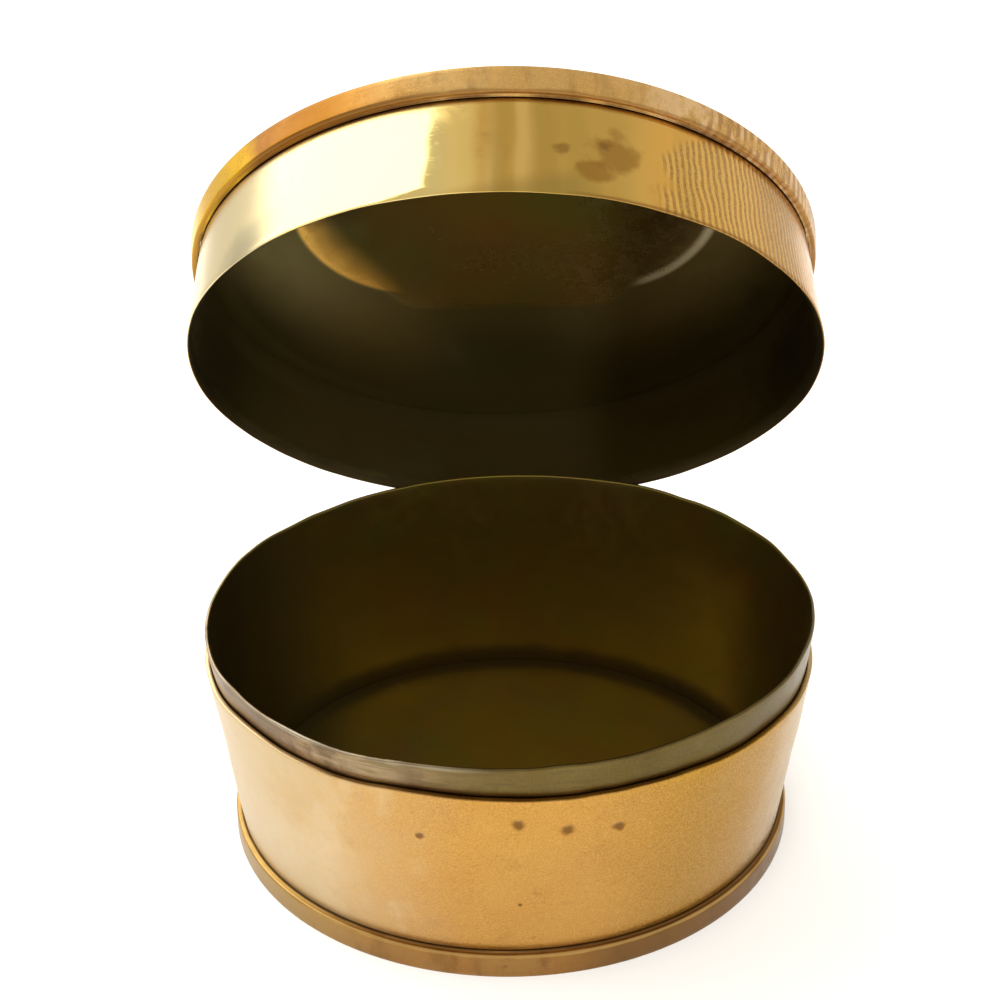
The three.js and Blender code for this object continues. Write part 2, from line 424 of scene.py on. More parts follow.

# %% [markdown]
# ## Finish: grain
#
# Three kinds of grain lie in the metal. Drawn grain runs round the strips, as long fine lines left
# by the rolling and the last polish. Satin grain has no direction and is what makes the front of
# the body look soft. The speckle is finer still, and is painted into the colour as sparkle, a
# painted glint.

# %% Grain
grain, given, result = group(
    "grain", [("Place", "Vector", None)],
    [("Drawn", "Float"), ("Satin", "Float"), ("Speckle", "Float")])
grain.links.new(noise(grain, given["Place"], 1.0, (0.06, 0.06, 6.0), 3.0), result["Drawn"])
grain.links.new(noise(grain, given["Place"], 5.0, detail=3.0, rough=0.7), result["Satin"])
speckle = noise(grain, given["Place"], 7.0, detail=2.0, rough=0.8)
grain.links.new(ramp(grain, speckle, 0.36, 0.64), result["Speckle"])
print("group:", grain.name)

# %% [markdown]
# ## Finish: wavy smear
#
# The right of the lid carries a smear of fine wavy lines that run up and down. A wave that is
# bent by noise gives them, laid out along the way round the oval. The smear starts at a curved
# and ragged line, and stays on the front.

# %% Wavy smear
ROUND_RADIUS = 22.0
ONE_WAVE = 0.314
CURVE_MIDDLE, CURVE = 21.0, 0.07
smear, given, result = group(
    "wavy smear", [("Place", "Vector", None), ("Pitch", "Float", 0.48), ("Start", "Float", 9.5)],
    [("Lines", "Float"), ("Here", "Float")])
axes = add(smear, "SeparateXYZ", {"Vector": given["Place"]}).outputs
round_oval = maths(smear, "ARCTAN2", maths(smear, "DIVIDE", axes["Y"], half_width),
                   maths(smear, "DIVIDE", axes["X"], half_length))
way = maths(smear, "MULTIPLY", round_oval, ROUND_RADIUS)
laid = add(smear, "CombineXYZ", {"X": way, "Y": axes["Z"]})
pace = maths(smear, "DIVIDE", ONE_WAVE, given["Pitch"])
waves = add(smear, "TexWave", {"Vector": laid.outputs["Vector"], "Scale": pace, "Distortion": 5.0,
                               "Detail": 2.0, "Detail Scale": 0.45})
smear.links.new(ramp(smear, waves.outputs["Fac"], 0.72, 0.25), result["Lines"])
shake = maths(smear, "MULTIPLY", noise(smear, given["Place"], 0.25), 5.0)
shaky = maths(smear, "ADD", axes["X"], shake)
rise = maths(smear, "SUBTRACT", axes["Z"], CURVE_MIDDLE)
curved = maths(smear, "MULTIPLY", maths(smear, "MULTIPLY", rise, rise), CURVE)
behind_start = maths(smear, "SUBTRACT", maths(smear, "SUBTRACT", shaky, curved), given["Start"])
begins = ramp(smear, behind_start, 2.0, 3.2)
thinning = maths(smear, "MULTIPLY", noise(smear, given["Place"], 0.4), 5.0)
in_front = ramp(smear, maths(smear, "ADD", axes["Y"], thinning), 0.0, -7.0)
smear.links.new(maths(smear, "MULTIPLY", begins, in_front), result["Here"])
print("group:", smear.name)

# %% [markdown]
# ## Finish: worn spots
#
# Both walls have a few small worn dents in front, brown with old polish, and there are broader
# stains and wiped patches. A spot is round, with an edge frayed by noise, and set at a place on
# the front of the shut box. Its edge may be crisp or soft.

# %% Worn spots
spot, given, result = group(
    "worn spot",
    [("Place", "Vector", None), ("Right", "Float", 0.0), ("Height", "Float", 0.0),
     ("Size", "Float", 1.0), ("Core", "Float", 0.3), ("Fray", "Float", 1.1),
     ("Ragged", "Float", 1.4)],
    [("Spot", "Float")])
axes = add(spot, "SeparateXYZ", {"Vector": given["Place"]}).outputs
off = maths(spot, "SUBTRACT", axes["X"], given["Right"])
lift = maths(spot, "SUBTRACT", axes["Z"], given["Height"])
away = apart(spot, off, lift)
uneven_edge = maths(spot, "SUBTRACT", noise(spot, given["Place"], given["Fray"]), 0.5)
frayed = maths(spot, "MULTIPLY", uneven_edge, given["Ragged"])
share = maths(spot, "ADD", maths(spot, "DIVIDE", away, given["Size"]), frayed)
in_front = maths(spot, "LESS_THAN", axes["Y"], 0.0)
fall = ramp(spot, share, 1.0, given["Core"])
spot.links.new(maths(spot, "MULTIPLY", fall, in_front), result["Spot"])
print("group:", spot.name)

# %% [markdown]
# ## The brass itself
#
# All the finishes share one recipe, in two steps. The first step starts a material: its colour
# drifts between two tones of brass, darkens with tarnish and lightens on the edges, and its
# dullness and its relief, in millimetres, are put together. The second step closes it, once a
# finish has added what only it has. The pattern's place is read in millimetres on the shut box,
# so on the lid it is turned back by the opening angle, and grain that runs round the body runs
# round the lid too. Masks are drawn at that place as soft steps, bands and frayed lines.


# %% Recipe for brass
SCRATCH_DEPTH = 0.0012


class Brass:
    """A brass material while it is being put together."""

    def __init__(self, name, tone, second, stain, on_lid=False, aged=0.0, size=6.0, worn=1.0):
        """Starts with two tones of brass, its stains, its bright edges and its scratches."""
        self.material = bpy.data.materials.new(name)
        self.material.use_nodes = True
        self.tree = self.material.node_tree
        self.shader = self.tree.nodes["Principled BSDF"]
        self.shader.inputs["Metallic"].default_value = 1.0
        turned_back = Matrix.Rotation(opening, 4, "X") if on_lid else Matrix.Identity(4)
        self.place = add(self.tree, "Mapping", {
            "Vector": add(self.tree, "TexCoord").outputs["Object"],
            "Scale": (MM, MM, MM),
            "Rotation": (opening if on_lid else 0, 0, 0),
            "Location": tuple(MM * (hinge_point - turned_back @ hinge_point)),
        }).outputs["Vector"]
        axes = add(self.tree, "SeparateXYZ", {"Vector": self.place}).outputs
        self.x, self.y, self.z = axes["X"], axes["Y"], axes["Z"]
        hands = self.get(smudges, Size=size)
        self.colour = blend(self.tree, hands["Drift"], (*tone, 1), (*second, 1))
        brown = self.get(tarnish, More=aged)
        self.tint(stain, brown["Stain"], 0.5)
        self.tint(stain, brown["Specks"], 0.7)
        bright = tuple(min(1, 1.15 * c + 0.05) for c in tone)
        self.tint(bright, self.get(edges)["Edge"], 0.6)
        hairs = self.times(self.get(scratches)["Scratches"], worn)
        self.dull = self.times(hands["Smudge"], 0.5)
        self.roughen(hairs, 0.3)
        self.roughen(brown["Stain"], 0.3)
        self.height = self.times(hairs, -SCRATCH_DEPTH)

    def get(self, made, **values):
        """The outputs of a shared group, laid at this material's place."""
        named = {name.replace("_", " "): value for name, value in values.items()}
        return use(self.tree, made, {"Place": self.place, **named})

    def times(self, a, b):
        """A mask, weakened by a share or kept to where another mask is."""
        return maths(self.tree, "MULTIPLY", a, b)

    def plus(self, a, b):
        """The sum of two values."""
        return maths(self.tree, "ADD", a, b)

    def noise(self, scale, *shape, **more):
        """Cloudy noise at this material's place."""
        return noise(self.tree, self.place, scale, *shape, **more)

    def step(self, value, low, high):
        """A mask that is 0 where the value is low and 1 where it is high."""
        return ramp(self.tree, value, low, high)

    def band(self, start, full, fading, end):
        """A mask that rises on the way right from start to full, and falls from fading to end."""
        return self.times(self.step(self.x, start, full), self.step(self.x, end, fading))

    def frayed(self, reach, scale=0.12):
        """The way to the right, shaken by noise, so that a step along it has a ragged line."""
        return self.plus(self.x, self.times(self.noise(scale, detail=4.0), reach))

    def tint(self, tone, mask, share):
        """Lays a tone over the colour where the mask is."""
        self.colour = blend(self.tree, self.times(mask, share), self.colour, (*tone, 1))

    def roughen(self, mask, share):
        """Makes the polish duller where the mask is."""
        self.dull = self.plus(self.dull, self.times(mask, share))

    def raise_by(self, mask, millimetres):
        """Adds relief where the mask is, or takes it away."""
        self.height = self.plus(self.height, self.times(mask, millimetres))

    def dented(self, dents, depth, tone, share):
        """Small hollows with old polish in them, each given by its place and its size."""
        for right, height, size in dents:
            hollow = self.get(spot, Right=right, Height=height, Size=size)["Spot"]
            self.raise_by(hollow, -depth)
            self.tint(tone, hollow, share)

    def line_tint(self, height, outset, reach, share=0.9, rise=0.0, tone=(0.085, 0.035, 0.012),
              dull=0.8, uneven=1.6):
        """A line round the oval in metres: painted shade with old polish, a painted highlight if
        pale.
        """
        mask = self.get(line_band, Height=MM * height, Outset=MM * outset, Reach=MM * reach,
                        Rise_right=MM * rise, Uneven=uneven)["Near_line"]
        self.tint(tone, mask, share)
        self.roughen(mask, dull)

    def close(self, best, worst):
        """Joins colour, polish and relief to the shader."""
        tree = self.tree
        tree.links.new(self.colour, self.shader.inputs["Base Color"])
        rough = add(tree, "MapRange", {"Value": self.dull, "To Min": best, "To Max": worst})
        tree.links.new(rough.outputs["Result"], self.shader.inputs["Roughness"])
        bump = add(tree, "Bump", {"Strength": 1.0, "Distance": 1 / MM, "Height": self.height})
        tree.links.new(bump.outputs["Normal"], self.shader.inputs["Normal"])
        print("finish:", self.material.name, "with", len(tree.nodes), "nodes")
        return self.material


def scaled(tone, factor):
    """A tone, made lighter or darker."""
    return tuple(factor * c for c in tone)


# %% [markdown]
# ## Finish of the body wall
#
# The wall is satin more than mirror. Its colour is deepest on the right of the front, which is
# painted shade, and paler towards both ends, which is painted highlight. The left end is the
# palest, in streaks and in one broad pale patch, all of it painted highlight.

# %% Body wall finish
# Deep tone: painted shade. Straw, cream, pale patch and silvery tones: painted highlights.
DEEP_SHADE, STRAW_HIGHLIGHT, CREAM_HIGHLIGHT = (0.33, 0.165, 0.006), (0.62, 0.46, 0.27), (0.52, 0.44, 0.29)
PALE_PATCH_HIGHLIGHT, SILVERY_HIGHLIGHT, SPARKLE = (0.60, 0.50, 0.36), (0.54, 0.46, 0.32), (0.68, 0.41, 0.11)
m = Brass("wall brass", (0.46, 0.22, 0.042), (0.50, 0.26, 0.055), (0.30, 0.13, 0.03), size=9.0)
ragged = m.frayed(9.0)
to_left = m.step(ragged, 2.0, -16.0)
# Painted shade on the right, then painted highlights: straw streaks, cream left end, a pale patch
# and the silvery right end.
m.tint(DEEP_SHADE, m.step(m.x, 5.0, 15.0), 0.85)
pale = m.noise(0.22, (1, 1, 0.6), 4.0, (0, 0.6, 0), rough=0.6)
m.tint(STRAW_HIGHLIGHT, m.times(m.step(pale, 0.5, 0.66), m.step(m.x, -4.0, -12.0)), 0.7)
m.tint(CREAM_HIGHLIGHT, to_left, 0.9)
patch = m.get(spot, Right=-14.5, Height=9.0, Size=5.5, Core=0.1, Fray=0.3, Ragged=1.0)["Spot"]
m.tint(PALE_PATCH_HIGHLIGHT, patch, 0.45)
m.tint(SILVERY_HIGHLIGHT, m.step(ragged, 22.0, 30.5), 0.85)
m.roughen(to_left, 0.3)
sheen = m.get(grain)
# The speckle tint is painted sparkle.
m.tint(SPARKLE, sheen["Speckle"], 0.45)
m.raise_by(sheen["Satin"], 0.006)
m.raise_by(sheen["Drawn"], 0.001)
print("wall brass has", len(m.tree.nodes), "nodes so far")

# %% [markdown]
# A few small dents stand in front, brown with old polish. A dent is given by how far it lies to
# the right and up, and by its size, in millimetres. Painted shade with old polish lies on the
# fillet of solder above the base rim, and a fine dark line of painted shade lies where the bezel
# comes out of the wall.

# %% Dents and painted shade on the body wall
BODY_DENTS = ((0.6, 17.0, 0.7), (4.1, 16.3, 0.75), (7.8, 15.8, 0.6), (-6.45, 15.3, 0.4),
              (0.7, 8.1, 0.2))
FILLET = 0.00013
base_top = edge("base_rim", max)[0]
seam_height, seam_rise = seam[:2]
m.dented(BODY_DENTS, 0.05, (0.13, 0.05, 0.01), 0.8)
# Painted shade with old polish on the fillet above the base rim.
m.line_tint(base_top + FILLET, 0, 0.0001, share=0.8, tone=(0.16, 0.07, 0.02))
m.roughen(m.get(line_band, Height=MM * base_top, Reach=0.6)["Near_line"], 0.8)
# A fine dark line of painted shade at the seam under the bezel.
m.line_tint(seam_height, outsets("body_wall")[1], 0.00016, share=0.6, rise=seam_rise,
        tone=(0.16, 0.07, 0.015))
wall_finish = m.close(0.26, 0.46)

# %% [markdown]
# ## Finish of the rims
#
# The rims are browner than the walls. A painted highlight runs along the filed edge, and the
# corner between a rim and its wall holds a thin dark line of painted shade with old polish. The rim
# of the base is lighter at its left end, which is painted light, and dark brown on the right, which
# is painted shade.


# %% Rim finishes
EDGE_LINE = 0.0002


def rim_brass(name, tone, second, on_lid):
    """The finish of a rim, before its painted highlight line and painted shade line are drawn."""
    m = Brass(name, tone, second, (0.18, 0.08, 0.03), on_lid=on_lid, aged=0.03)
    lines = m.get(grain)
    m.raise_by(lines["Drawn"], 0.004)
    m.raise_by(lines["Satin"], 0.006)
    # The speckle tint is painted sparkle.
    m.tint(scaled(tone, 1.5), lines["Speckle"], 0.4)
    dragged = m.noise(0.7, (1, 1, 0.3), 4.0, (0, 0.5, 0), rough=0.65)
    m.tint(scaled(tone, 0.62), m.step(dragged, 0.5, 0.34), 0.4)
    m.tint(scaled(tone, 1.4), m.step(dragged, 0.54, 0.7), 0.4)
    return m


def lined(m, node, edge_height, outset, bright, share):
    """Draws the painted highlight line of the filed edge and the painted shade line at the wall."""
    filed = max(o for o, z in section_of(node) if abs(z - edge_height) < HAIR)
    # Painted highlight along the filed edge.
    m.line_tint(edge_height, filed + 0.4 * EDGE_LINE, EDGE_LINE, share=share, tone=bright, dull=0.1)
    # Painted shade with old polish in the corner at the wall.
    m.line_tint(edge_height, outset, EDGE_LINE, share=0.85, tone=(0.11, 0.045, 0.014))


m = rim_brass("base rim brass", (0.27, 0.13, 0.033), (0.31, 0.17, 0.05), False)
# Painted light at the left end, then painted shade at the right.
m.tint((0.36, 0.23, 0.07), m.step(m.x, -9.0, -19.0), 0.8)
m.tint((0.17, 0.085, 0.025), m.step(m.x, 3.0, 9.0), 0.8)
# Painted highlight and painted shade lines along the base rim.
lined(m, "base_rim", base_top, 0, (0.72, 0.46, 0.16), 0.55)
base_rim_finish = m.close(0.28, 0.48)

# %% [markdown]
# The rim of the lid has a yellow painted highlight at its left end and is orange from there to the
# middle. On the right it is lumpy with dried polish, with painted highlights on the light lumps,
# streaked like the wall beside it, and brown at the very end. Its ledge by the wall carries a band
# of painted shade.

# %% Lid rim finish
BURNT, YELLOW_HIGHLIGHT, BUFF_HIGHLIGHT = (0.22, 0.083, 0.003), (0.86, 0.50, 0.012), (0.93, 0.64, 0.34)
UMBER, STREAK, DARK_END = (0.36, 0.18, 0.05), (0.34, 0.15, 0.03), (0.34, 0.17, 0.04)
lid_outset = outsets("lid_wall")[0]
lid_rim_edge = edge("lid_rim", min)[0]
m = rim_brass("lid rim brass", (0.68, 0.39, 0.115), (0.66, 0.43, 0.165), True)
ragged = m.frayed(6.0)
m.tint(BURNT, m.times(m.step(ragged, 1.0, -9.0), m.step(m.y, 5.0, -5.0)), 0.97)
# Painted highlight: yellow at the left end.
m.tint(YELLOW_HIGHLIGHT, m.times(m.step(ragged, -13.5, -16.5), m.step(m.y, 0.0, -7.0)), 0.95)
to_right = m.step(ragged, 8.0, 16.0)
lumps = m.noise(0.9, (1, 1, 0.6), 4.0, rough=0.65)
# The buff lumps are dried polish with painted highlights on them.
m.tint(BUFF_HIGHLIGHT, m.times(m.step(lumps, 0.42, 0.58), to_right), 0.75)
m.tint(UMBER, m.times(m.step(lumps, 0.42, 0.3), to_right), 0.5)
m.raise_by(m.times(lumps, to_right), 0.18)
trail = m.get(smear, Pitch=0.75, Start=9.0)
m.tint(STREAK, m.times(m.times(trail["Lines"], trail["Here"]), m.step(lumps, 0.35, 0.5)), 0.65)
m.tint(DARK_END, m.step(m.x, 22.8, 24.6), 0.7)
# Painted shade on the ledge by the wall.
m.line_tint(lid_rim_edge, lid_outset + 0.0003, 0.0003, share=0.7, tone=(0.24, 0.11, 0.03))
# Painted highlight and painted shade lines along the lid rim.
lined(m, "lid_rim", lid_rim_edge, lid_outset, (0.50, 0.28, 0.08), 0.15)
lid_rim_finish = m.close(0.26, 0.44)

# %% [markdown]
# ## Finish of the bezel
#
# The lid rubs the bezel every time it is shut, and nobody polishes it, so it is grey and dull. It
# is a cool olive in front, a pinkish grey on the left and a silvery one at the right end. It has
# been brushed round and rubbed in patches. On the left a band of painted light lies beside a band
# of painted shade.

# %% Bezel finish
PINKISH, GREY, RUBBED = (0.33, 0.22, 0.125), (0.34, 0.29, 0.20), (0.24, 0.18, 0.08)
BROWN, OLIVE, PAINTED_LIGHT = (0.13, 0.08, 0.045), (0.09, 0.06, 0.008), (0.44, 0.34, 0.20)
BRUSHED_DARK, BRUSHED_LIGHT, BEZEL_SPARKLE = (0.10, 0.07, 0.03), (0.42, 0.31, 0.19), (0.24, 0.18, 0.075)
m = Brass("bezel brass", (0.13, 0.09, 0.024), (0.16, 0.115, 0.035), (0.07, 0.045, 0.015),
          aged=0.03, size=5.0)
ragged = m.frayed(8.0, scale=0.2)
to_left = m.step(ragged, 4.0, -10.0)
m.tint(PINKISH, to_left, 0.9)
m.tint(GREY, m.step(ragged, 22.0, 29.0), 0.8)
rubbed = m.noise(0.45, (1, 1, 0.5), 5.0, (0, 0.7, 0), rough=0.6)
m.tint(BROWN, m.times(m.step(rubbed, 0.52, 0.36), to_left), 0.9)
m.tint(RUBBED, m.step(rubbed, 0.54, 0.72), 0.5)
m.tint(OLIVE, m.step(m.x, 4.0, 10.0), 0.45)
# A band of painted light on the left.
m.tint(PAINTED_LIGHT, m.band(-12.5, -10.5, -8.5, -6.5), 0.45)
brushed = m.noise(1.3, (0.22, 0.22, 2.2), 4.0, rough=0.6)
m.tint(BRUSHED_DARK, m.step(brushed, 0.5, 0.38), 0.5)
m.tint(BRUSHED_LIGHT, m.times(m.step(brushed, 0.54, 0.68), to_left), 0.5)
# A band of painted shade at the far left.
m.tint(BROWN, m.band(-22.8, -21.0, -17.0, -14.0), 0.75)
print("bezel brass has", len(m.tree.nodes), "nodes so far")

# %% [markdown]
# A dark line of painted shade lies where the bezel comes out of the wall. Its mouth carries a pale
# painted highlight on the left.

# %% Grain and edges of the bezel
bezel_outset = outsets("bezel")[0]
mouth, mouth_rise, mouth_back = (MM * size for size in edge("bezel", max))
lines = m.get(grain)
# The speckle tint is painted sparkle.
m.tint(BEZEL_SPARKLE, lines["Speckle"], 0.2)
m.raise_by(lines["Drawn"], 0.003)
m.raise_by(lines["Satin"], 0.003)
# Painted shade where the bezel comes out of the wall.
m.line_tint(seam_height, bezel_outset, 0.00012, share=0.6, rise=seam_rise, tone=(0.10, 0.05, 0.015))
# A pale painted highlight along the mouth, on the left.
mouth_highlight = m.get(line_band, Height=mouth, Outset=MM * bezel_outset, Reach=0.3,
                   Rise_right=mouth_rise, Rise_back=mouth_back, Uneven=0.8)["Near_line"]
m.tint((0.36, 0.33, 0.25), m.times(mouth_highlight, m.step(m.x, 0.0, -7.0)), 0.7)
bezel_finish = m.close(0.3, 0.5)

# %% [markdown]
# ## Finish of the lid wall
#
# The lid is the best polished piece, almost a mirror. On the left it mirrors the window, and the
# brass is painted cream there, a painted highlight, up to a frayed line. The far left end is
# painted greyer, a painted reflection, and is duller, with a darker olive-grey patch on it, and the
# right end is orange.

# %% Lid wall finish
CREAM_HIGHLIGHT, GREY_REFLECTION, OLIVE_GREY_PATCH = (0.86, 0.67, 0.255), (0.74, 0.63, 0.38), (0.42, 0.37, 0.22)
ORANGE, COPPER = (0.84, 0.46, 0.085), (0.58, 0.22, 0.006)
m = Brass("lid brass", (0.76, 0.48, 0.115), (0.71, 0.43, 0.095), (0.44, 0.22, 0.05),
          on_lid=True, size=7.0, worn=0.25)
ragged = m.frayed(4.0)
in_front = m.step(m.y, -1.0, -8.0)
# Painted highlight: the window's cream on the left.
m.tint(CREAM_HIGHLIGHT, m.times(m.step(ragged, 0.5, -2.5), in_front), 0.95)
# Painted reflection: greyer at the far left.
m.tint(GREY_REFLECTION, m.times(m.step(m.x, -14.0, -17.5), in_front), 0.8)
# A darker olive-grey patch at the far left.
far_left_patch = m.get(spot, Right=-17.6, Height=20.6, Size=3.2, Core=0.2, Fray=0.3, Ragged=1.0)["Spot"]
m.tint(OLIVE_GREY_PATCH, far_left_patch, 0.75)
m.roughen(m.step(ragged, -9.5, -14.0), 0.9)
m.tint(ORANGE, m.times(m.step(ragged, 10.0, 14.0), in_front), 0.85)
m.tint(COPPER, m.times(m.step(m.x, 16.5, 20.0), in_front), 0.9)
print("lid brass has", len(m.tree.nodes), "nodes so far")

# %% [markdown]
# Right of the window's edge upright bands of painted reflection lie in the colour, light and dark
# by turns. Four of them have a place, a reach, a tone and a strength of their own, and noise that is
# drawn out upright adds fainter ones. All of them sway a little. Low on the wall the brass is a
# duller olive.

# %% Bands on the lid wall
REFLECTION_BANDS = ((-2.7, 1.5, (0.97, 0.70, 0.22), 0.7), (0.1, 1.1, (0.50, 0.31, 0.055), 0.6),
         (1.4, 0.7, (0.90, 0.62, 0.20), 0.5), (2.9, 1.2, (0.46, 0.28, 0.045), 0.6))
GLEAM, SHADE = (0.94, 0.72, 0.32), (0.48, 0.31, 0.06)
WARM, DULL_OLIVE = (0.56, 0.36, 0.075), (0.38, 0.26, 0.06)
drawn_up = m.noise(0.36, (1, 1, 0.09), 1.5, rough=0.4)
# Painted reflection: fainter light and dark upright bands.
m.tint(GLEAM, m.times(m.step(drawn_up, 0.5, 0.66), m.band(-5.0, -3.5, 0.5, 3.5)), 0.3)
m.tint(SHADE, m.times(m.step(drawn_up, 0.5, 0.36), m.step(m.x, -5.0, -3.5)), 0.4)
sway = m.times(m.noise(0.25, (1, 1, 0.4)), 1.4)
swaying = m.plus(m.plus(m.x, sway), -0.7)
# Painted reflection: four upright bands.
for place, reach, tone, share in REFLECTION_BANDS:
    off = maths(m.tree, "ABSOLUTE", m.plus(swaying, -place), 0)
    m.tint(tone, m.times(m.step(off, reach, 0.2 * reach), in_front), share)
m.tint(WARM, m.band(1.0, 3.0, 7.5, 9.5), 0.5)
low_down = m.step(m.plus(m.z, m.times(m.x, -0.25)), 21.2, 19.4)
m.tint(DULL_OLIVE, m.times(low_down, m.band(-5.0, -3.5, 4.0, 7.0)), 0.6)
print("lid brass has", len(m.tree.nodes), "nodes so far")

# %% [markdown]
# The polish follows soft dents, so that what it mirrors swims. The wavy smear on the right is a
# dull film with dark lines sunk in it, and painted sparkle on it.

# %% Smear on the lid wall
LINE, FILM_SPARKLE = (0.36, 0.175, 0.025), (0.96, 0.66, 0.24)
sheen = m.get(grain)
m.raise_by(sheen["Satin"], 0.0003)
m.raise_by(m.noise(0.2, detail=2.0), 0.012)
trail = m.get(smear, Pitch=0.48, Start=10.2)
ridges = m.times(trail["Lines"], trail["Here"])
m.tint(LINE, ridges, 0.85)
m.raise_by(ridges, -0.012)
m.roughen(trail["Here"], 0.4)
# The speckle tint on the smear is painted sparkle.
m.tint(FILM_SPARKLE, m.times(sheen["Speckle"], trail["Here"]), 0.35)
print("lid brass has", len(m.tree.nodes), "nodes so far")

# %% [markdown]
# Between the bands and the smear lies a brown stain in two lobes, with two small dents in and
# beside it. They are given like the body's dents. The corner under the rim is painted dark, as
# painted shade with old polish, and the right of the mouth is darker brown.

# %% Stains, dents and painted shade on the lid wall
LID_STAINS = ((7.2, 23.8, 2.1), (6.1, 21.8, 1.2))
LID_DENTS = ((4.0, 23.5, 0.7), (6.8, 24.2, 0.8))
lid_mouth, lid_mouth_rise, lid_mouth_back = edge("lid_wall", min)
for right, height, size in LID_STAINS:
    brown = m.get(spot, Right=right, Height=height, Size=size, Core=0.45, Fray=0.45,
                  Ragged=1.9)["Spot"]
    m.tint((0.36, 0.18, 0.028), brown, 0.75)
    m.roughen(brown, 0.3)
m.dented(LID_DENTS, 0.035, (0.24, 0.11, 0.02), 0.6)
# Painted shade with old polish in the corner under the rim.
m.line_tint(lid_rim_edge - FILLET, lid_outset, 0.0003, share=0.8, tone=(0.19, 0.085, 0.02))
at_mouth = m.get(line_band, Height=MM * lid_mouth, Outset=MM * lid_outset, Reach=0.4,
                 Rise_right=MM * lid_mouth_rise, Rise_back=MM * lid_mouth_back)["Near_line"]
m.tint((0.30, 0.15, 0.04), m.times(at_mouth, m.step(m.x, 3.0, 7.0)), 0.7)
under_rim = m.get(line_band, Height=MM * lid_rim_edge, Outset=MM * lid_outset, Reach=0.8)["Near_line"]
m.roughen(under_rim, 1.5)
lid_finish = m.close(0.06, 0.26)

# %% [markdown]
# ## Finish of the inside
#
# Inside, the brass has gone dark olive under an old film with faint colours in it. It is still
# smooth, and the darkness of the open box is this film seen again and again, as the light goes
# from wall to wall. The corner round the plate carries a wide band of painted shade and is the
# darkest, and the body's inside is painted darker towards its left end.


# %% Inside finishes
def inside_brass(name, tone, corner_height, corner_outset, corner_share, on_lid):
    """Dark film on brass, with a band of painted shade along the corner of the plate."""
    m = Brass(name, tone, scaled(tone, 0.88), scaled(tone, 0.7), on_lid=on_lid, aged=-0.05,
              size=12.0, worn=0.12)
    m.shader.inputs["Metallic"].default_value = 0.95
    tints = m.get(film_tints)
    red, green, blue = tone
    m.tint((0.7 * red, 1.1 * green, blue), tints["Green"], 0.6)
    m.tint((red, 0.7 * green, blue), tints["Red"], 0.5)
    m.tint((0.7 * red, 0.8 * green, 2.2 * blue), tints["Grey"], 0.4)
    m.raise_by(m.get(grain)["Satin"], 0.0004)
    m.raise_by(m.noise(0.15, detail=1.0), 0.06)
    # Painted shade: a wide dark band along the corner of the plate.
    m.line_tint(corner_height, corner_outset, 0.003, share=corner_share, tone=(0.12, 0.08, 0.03),
            uneven=0.5)
    return m


floor_top = edge("floor_plate", max)[0]
m = inside_brass("inside brass", (0.31, 0.225, 0.043), floor_top, outsets("bezel")[1], 0.75, False)
# Painted shade: darker towards the left end.
m.tint((0.17, 0.14, 0.05), m.step(m.x, -14.0, -22.0), 0.8)
inside_finish = m.close(0.32, 0.5)

# %% [markdown]
# The plate of the lid is clear in the middle and painted darker round that, towards the hinge and
# the sides, as painted shade. The clear middle has rounded corners, and along them lie painted
# reflections: a bright brass arc on the left and a faint one on the right. The right side and the
# mouth carry more painted shade.

# %% Inside of the lid
MIDDLE_X, CORNER_X, CORNER_Y, CORNER_RADIUS = 0.35, 8.15, -7.84, 8.53
PAINTED_SHADE, BRIGHT_ARC_REFLECTION, SHADED, FAINT_ARC_REFLECTION = ((0.13, 0.107, 0.038), (1.0, 0.60, 0.13), (0.075, 0.05, 0.01),
                                   (0.46, 0.40, 0.25))
lid_inner = outsets("lid_wall")[1]
m = inside_brass("lid inside brass", (0.27, 0.198, 0.072), edge("lid_plate", min)[0], lid_inner,
                 0.0, True)
sideways = maths(m.tree, "ABSOLUTE", m.plus(m.x, -MIDDLE_X), 0)
beside = maths(m.tree, "MAXIMUM", m.plus(sideways, -CORNER_X), 0.0)
beyond = maths(m.tree, "MAXIMUM", m.plus(m.y, -CORNER_Y), 0.0)
from_corner = apart(m.tree, beside, beyond)
soft_edge = m.times(m.step(beside, 3.0, 0.0), 2.0)
shaded_surround = m.step(maths(m.tree, "SUBTRACT", from_corner, soft_edge),
                 CORNER_RADIUS - 0.9, CORNER_RADIUS + 0.5)
# Painted shade round the clear middle.
m.tint(PAINTED_SHADE, shaded_surround, 0.85)
m.roughen(shaded_surround, 0.6)
clear_middle = m.step(from_corner, CORNER_RADIUS + 0.25, CORNER_RADIUS - 0.25)
slope = m.plus(m.times(m.x, -0.85), m.times(m.y, 0.53))
left_arc = m.times(m.times(clear_middle, m.step(slope, 6.8, 10.0)), m.step(m.x, -8.0, -9.5))
# Painted reflection: a bright arc on the left.
m.tint(BRIGHT_ARC_REFLECTION, left_arc, 0.95)
# Painted shade on the right.
m.tint(SHADED, m.step(m.x, 6.0, 12.0), 0.85)
along_edge = m.times(clear_middle, m.step(from_corner, CORNER_RADIUS - 1.1, CORNER_RADIUS - 0.4))
# Painted reflection: a faint arc on the right.
m.tint(FAINT_ARC_REFLECTION, m.times(along_edge, m.step(m.x, 10.5, 12.5)), 0.8)
# Painted shade along the lid's mouth.
m.line_tint(lid_mouth, lid_inner, 0.0012, share=0.85, rise=lid_mouth_rise, tone=(0.05, 0.035, 0.014))
lid_inside_finish = m.close(0.2, 0.5)

# %% [markdown]
# ## Finish of the hinge and of the outer faces of the plates
#
# The hinge can't be wiped well, so it keeps brown tarnish between its knuckles. The underside and
# the top of the lid are plain polished sheet, rubbed and scratched by standing and sliding.


